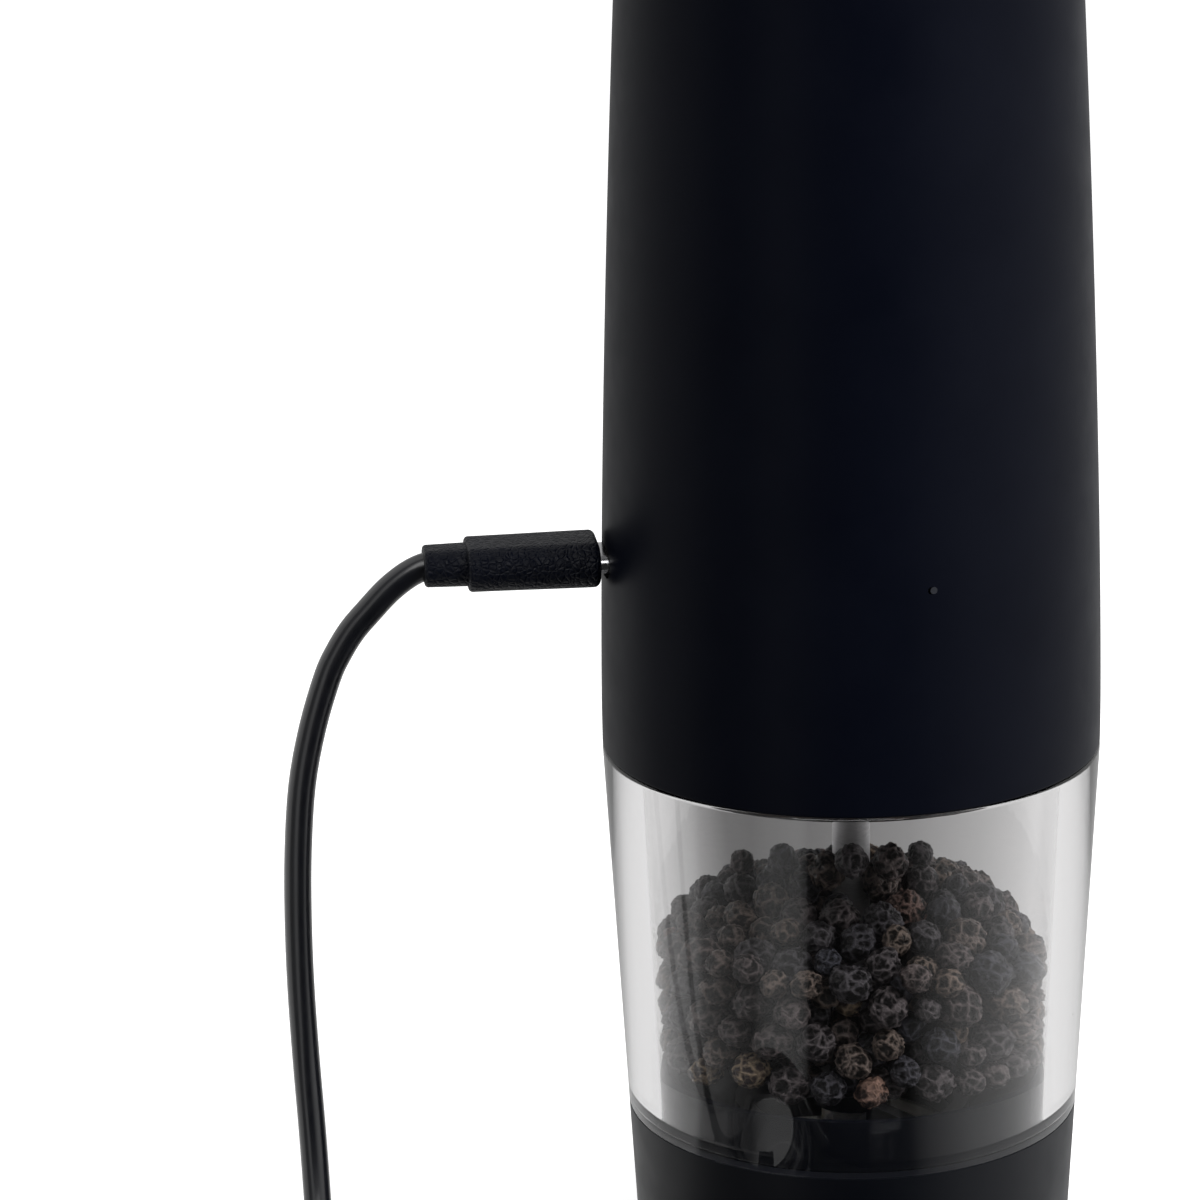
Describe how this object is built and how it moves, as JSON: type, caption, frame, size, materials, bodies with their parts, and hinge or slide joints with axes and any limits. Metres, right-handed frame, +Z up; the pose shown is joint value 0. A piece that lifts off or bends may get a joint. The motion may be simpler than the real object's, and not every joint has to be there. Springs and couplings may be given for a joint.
{
  "type": "electric pepper mill",
  "caption": "Rechargeable pepper mill: matte black motor unit on a thick clear jar, ceramic grinder in the foot, charging lead in its side.",
  "frame": {"origin": "centre of the foot on the table", "axes": "+Z up along the mill's axis; the charging socket faces -X"},
  "size_m": [0.1073, 0.113, 0.187],
  "materials": {
    "soft_touch_black": "fine matte soft-touch coat",
    "button_black": "fine matte plastic",
    "base_black": "fine matte plastic",
    "inner_black": "smooth moulded plastic",
    "frame_plastic": "natural ABS",
    "gear_plastic": "moulded acetal",
    "clear_jar": "thick clear polished acrylic",
    "peppercorn": "dried, wrinkled black peppercorns",
    "ceramic_white": "sintered ceramic",
    "steel": "ground and plated steel",
    "brass_small": "turned brass",
    "copper_winding": "lacquered copper wire on laminations",
    "circuit_board": "green solder mask",
    "chip_black": "moulded component bodies",
    "cell_wrap": "shrink sleeve",
    "clear_guide": "clear moulded light guide",
    "seal_silicone": "translucent silicone",
    "cord_black": "smooth, slightly glossy jacket",
    "plug_black": "fine leather-like moulded grain",
    "tie_black": "hook-and-loop strap",
    "plug_metal": "nickel-plated shell"
  },
  "bodies": {
    "jar_unit": {"jar": "clear_jar", "peppercorns": "peppercorn", "outer_burr": "ceramic_white", "grinder_base": "base_black", "adjuster_bridge": "inner_black", "bottom_plate": "inner_black", "shaft_guide": "inner_black", "burr_spring": "steel"},
    "motor_unit": {"body_shell": "soft_touch_black", "button_spring": "steel", "button_switch": "chip_black", "button_board": "circuit_board", "inner_frame": "frame_plastic", "battery_cell": "cell_wrap", "control_board": "circuit_board", "board_chips": "chip_black", "usb_socket": "steel", "light_guide": "clear_guide", "indicator_board": "circuit_board", "motor_can": "steel", "motor_magnets": "steel", "motor_end_cap": "frame_plastic", "gear_housing": "frame_plastic", "lower_cover": "inner_black", "cover_screws": "steel", "jar_seal": "seal_silicone"},
    "button": {"push_button": "button_black"},
    "rotor": {"motor_armature": "copper_winding", "sun_pinion": "brass_small"},
    "upper_carrier": {"upper_carrier": "gear_plastic"},
    "output_carrier": {"output_carrier": "gear_plastic"},
    "burr_carrier": {"thrust_cup": "brass_small"},
    "adjuster": {"adjuster_dial": "inner_black"},
    "spindle": {"drive_shaft": "steel", "inner_burr": "ceramic_white"},
    "charging_lead": {"plug_shell": "plug_metal", "plug_body": "plug_black", "strain_relief": "plug_black", "charging_cord": "cord_black", "cord_coil": "cord_black", "coil_tie": "tie_black", "cord_tail": "cord_black", "usb_a_body": "plug_black", "usb_a_shell": "plug_metal"},
    "upper_planet_1": {"planet_upper_1": "gear_plastic"},
    "lower_planet_1": {"planet_lower_1": "gear_plastic"},
    "upper_planet_2": {"planet_upper_2": "gear_plastic"},
    "lower_planet_2": {"planet_lower_2": "gear_plastic"},
    "upper_planet_3": {"planet_upper_3": "gear_plastic"},
    "lower_planet_3": {"planet_lower_3": "gear_plastic"}
  },
  "joints": [
    {"name": "motor_unit_lift", "type": "slide", "parent": "jar_unit", "child": "motor_unit", "axis": [0, 0, 1], "range_m": [0, 0.02]},
    {"name": "button_press", "type": "slide", "parent": "motor_unit", "child": "button", "axis": [0, 0, -1], "range_m": [0, 0.0015], "stiffness_N_per_m": 1500, "springref_m": -0.0004, "deforming": ["button_spring"]},
    {"name": "lead_unplug", "type": "slide", "parent": "motor_unit", "child": "charging_lead", "axis": [-1, 0, 0], "range_m": [0, 0.012]},
    {"name": "burr_adjust", "type": "slide", "parent": "jar_unit", "child": "burr_carrier", "axis": [0, 0, 1], "range_m": [0, 0.0012], "deforming": ["burr_spring"]},
    {"name": "dial_turn", "type": "hinge", "parent": "burr_carrier", "child": "adjuster", "pos_m": [0, 0, 0.002], "axis": [0, 0, -1], "range_deg": [0, 270]},
    {"name": "spindle_spin", "type": "hinge", "parent": "burr_carrier", "child": "spindle", "pos_m": [0, 0, 0.01], "axis": [0, 0, 1], "continuous": true},
    {"name": "output_spin", "type": "hinge", "parent": "motor_unit", "child": "output_carrier", "pos_m": [0, 0, 0.09], "axis": [0, 0, 1], "continuous": true},
    {"name": "upper_carrier_spin", "type": "hinge", "parent": "motor_unit", "child": "upper_carrier", "pos_m": [0, 0, 0.098], "axis": [0, 0, 1], "continuous": true},
    {"name": "rotor_spin", "type": "hinge", "parent": "motor_unit", "child": "rotor", "pos_m": [0, 0, 0.12], "axis": [0, 0, 1], "continuous": true},
    {"name": "lower_planet_1_spin", "type": "hinge", "parent": "output_carrier", "child": "lower_planet_1", "pos_m": [0.00675, 0, 0.0949], "axis": [0, 0, 1], "continuous": true},
    {"name": "upper_planet_1_spin", "type": "hinge", "parent": "upper_carrier", "child": "upper_planet_1", "pos_m": [0.00675, 0, 0.1013], "axis": [0, 0, 1], "continuous": true},
    {"name": "lower_planet_2_spin", "type": "hinge", "parent": "output_carrier", "child": "lower_planet_2", "pos_m": [-0.00337, 0.00585, 0.0949], "axis": [0, 0, 1], "continuous": true},
    {"name": "upper_planet_2_spin", "type": "hinge", "parent": "upper_carrier", "child": "upper_planet_2", "pos_m": [-0.00337, 0.00585, 0.1013], "axis": [0, 0, 1], "continuous": true},
    {"name": "lower_planet_3_spin", "type": "hinge", "parent": "output_carrier", "child": "lower_planet_3", "pos_m": [-0.00337, -0.00585, 0.0949], "axis": [0, 0, 1], "continuous": true},
    {"name": "upper_planet_3_spin", "type": "hinge", "parent": "upper_carrier", "child": "upper_planet_3", "pos_m": [-0.00337, -0.00585, 0.1013], "axis": [0, 0, 1], "continuous": true}
  ],
  "couplings": [
    {"joint": "dial_turn", "follows": "burr_adjust", "rad_per_m": 3926},
    {"joint": "output_spin", "follows": "spindle_spin", "ratio": 1},
    {"joint": "upper_carrier_spin", "follows": "spindle_spin", "ratio": 4.5},
    {"joint": "rotor_spin", "follows": "spindle_spin", "ratio": 20.25},
    {"joint": "lower_planet_1_spin", "follows": "spindle_spin", "ratio": -2.8},
    {"joint": "upper_planet_1_spin", "follows": "spindle_spin", "ratio": -12.6},
    {"joint": "lower_planet_2_spin", "follows": "spindle_spin", "ratio": -2.8},
    {"joint": "upper_planet_2_spin", "follows": "spindle_spin", "ratio": -12.6},
    {"joint": "lower_planet_3_spin", "follows": "spindle_spin", "ratio": -2.8},
    {"joint": "upper_planet_3_spin", "follows": "spindle_spin", "ratio": -12.6}
  ]
}
